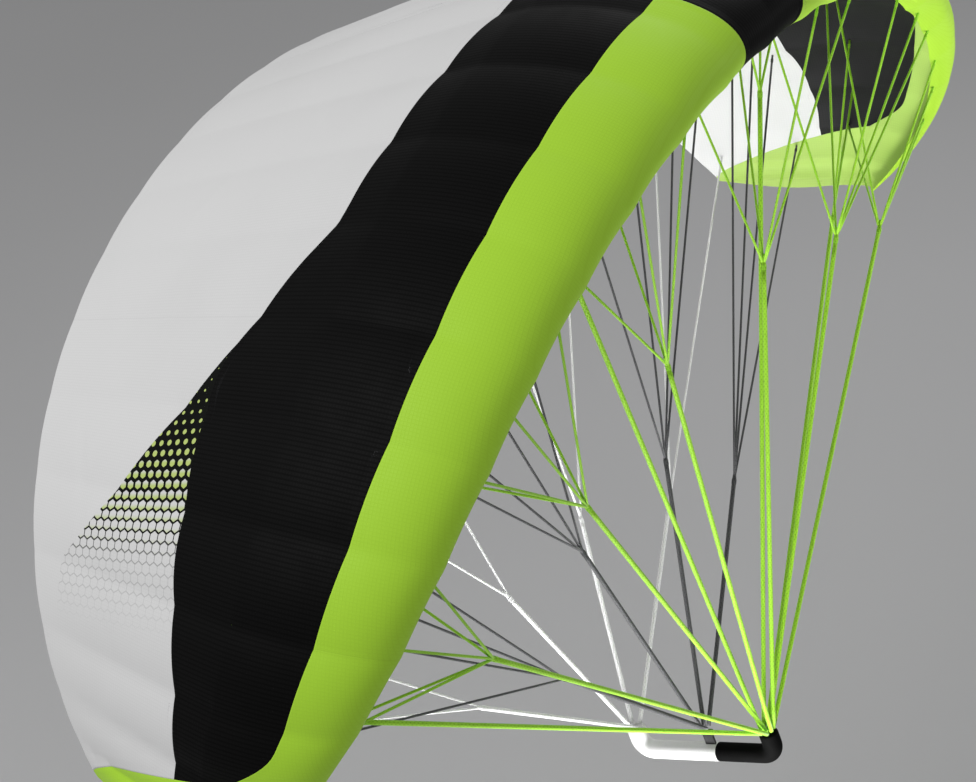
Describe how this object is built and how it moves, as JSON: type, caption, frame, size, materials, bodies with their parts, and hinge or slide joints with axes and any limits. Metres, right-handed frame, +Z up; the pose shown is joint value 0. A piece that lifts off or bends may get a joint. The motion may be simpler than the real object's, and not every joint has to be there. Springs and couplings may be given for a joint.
{
  "type": "parawing",
  "caption": "Single-skin arched cloth wing with a rolled nose, cascaded tie lines and a short hand bar, shown inflated in flight.",
  "frame": {"origin": "middle of the bar's grip, where a hand holds the wing", "axes": "+X forward in flight, +Y towards the left tip, +Z up"},
  "size_m": [0.9879, 2.2398, 1.5975],
  "materials": {
    "white_cloth": "coated ripstop",
    "black_cloth": "ripstop with a fine grid",
    "lime_cloth": "coated ripstop",
    "lime_line": "braided",
    "grey_line": "braided",
    "white_line": "braided",
    "white_grip": "soft foam grip",
    "black_grip": "soft foam grip",
    "black_webbing": "woven webbing"
  },
  "bodies": {
    "root": {"rear_panel_right": "white_cloth", "rear_panel_left": "white_cloth", "mid_band_right": "black_cloth", "mid_band_left": "black_cloth", "centre_nose": "black_cloth", "leading_edge_right": "lime_cloth", "leading_edge_left": "lime_cloth", "tip_band_right": "lime_cloth", "tip_band_left": "lime_cloth", "bar_grip_rear": "white_grip", "bar_grip_front": "black_grip", "middle_strap": "black_webbing", "line_a1_right": "lime_line", "line_a1_left": "lime_line", "line_a2_right": "lime_line", "line_a2_left": "lime_line", "line_a3_right": "lime_line", "line_a3_left": "lime_line", "line_b1_right": "lime_line", "line_b1_left": "lime_line", "line_b2_right": "lime_line", "line_b2_left": "lime_line", "line_c1_right": "grey_line", "line_c1_left": "grey_line", "line_c2_right": "grey_line", "line_c2_left": "grey_line", "line_d1_right": "white_line", "line_d1_left": "white_line", "line_d2_right": "white_line", "line_d2_left": "white_line"}
  },
  "joints": []
}
